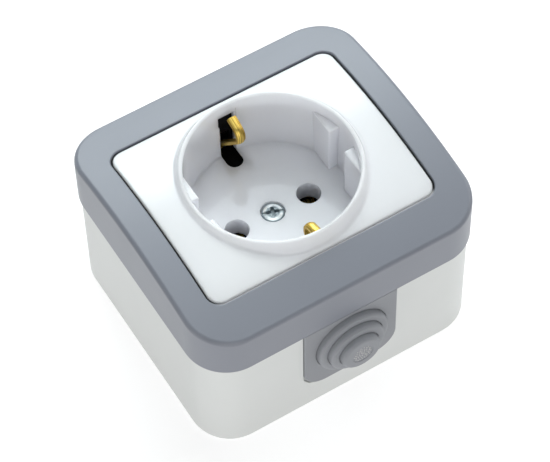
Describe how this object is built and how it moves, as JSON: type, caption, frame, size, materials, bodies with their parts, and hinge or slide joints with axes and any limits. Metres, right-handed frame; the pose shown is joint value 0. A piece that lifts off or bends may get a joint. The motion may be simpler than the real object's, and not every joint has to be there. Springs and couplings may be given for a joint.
{
  "type": "earthed wall socket",
  "caption": "Surface-mounted earthed wall socket: light box, grey arched cover frame, white insert with a round plug well and side earth clips, and a stepped grommet for the cable.",
  "frame": {"origin": "centre of the back face, which lies against the wall", "axes": "+Z out of the wall towards the plug, +Y up the wall, +X to the right as seen by the user"},
  "size_m": [0.0724, 0.0711, 0.0471],
  "materials": {
    "box_plastic": "fine satin, light grey",
    "frame_plastic": "fine satin, mid grey",
    "insert_plastic": "gloss, white",
    "grommet_rubber": "matte, mid grey",
    "seal_rubber": "matte, black",
    "carrier_plastic": "matte, black",
    "contact_brass": "bright, as rolled",
    "plated_steel": "zinc plated"
  },
  "bodies": {
    "root": {"back_box": "box_plastic", "frame_seal": "seal_rubber", "cover_frame": "frame_plastic", "socket_insert": "insert_plastic", "insert_gasket": "seal_rubber", "centre_screw": "plated_steel", "earth_strap": "contact_brass", "neutral_contact": "contact_brass", "line_contact": "contact_brass", "neutral_terminal": "contact_brass", "line_terminal": "contact_brass", "earth_terminal": "contact_brass", "terminal_screws": "plated_steel", "contact_carrier": "carrier_plastic", "carrier_screws": "plated_steel", "cable_grommet": "grommet_rubber"}
  },
  "joints": []
}
